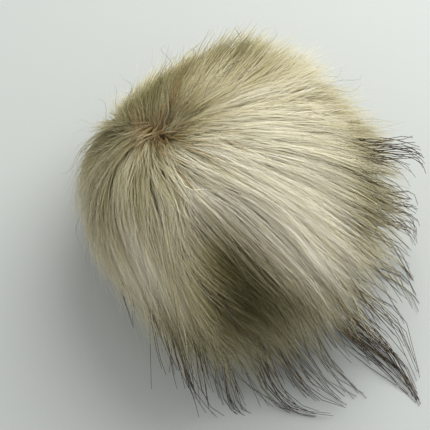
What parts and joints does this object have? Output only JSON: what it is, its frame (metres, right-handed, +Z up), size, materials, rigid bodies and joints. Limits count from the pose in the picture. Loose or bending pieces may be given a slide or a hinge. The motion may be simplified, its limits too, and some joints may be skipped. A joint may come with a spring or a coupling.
{
  "type": "pom pom",
  "caption": "Soft faux-fur pom pom: a ball of long pale pile combed from a whorl near the top, with dark-tipped hairs, resting on a small flat spot.",
  "frame": {"origin": "middle of the flat spot under the ball, where it rests", "axes": "+Z up from the flat spot through the ball; the whorl leans towards -X; the long tips of the pile reach towards +X and -Y"},
  "size_m": [0.1356, 0.1369, 0.1113],
  "materials": {
    "fur": "soft long pile, pale cream with a deeper beige near the roots and dark tips on the longest hairs"
  },
  "bodies": {
    "root": {"pom_pom": "fur"}
  },
  "joints": []
}
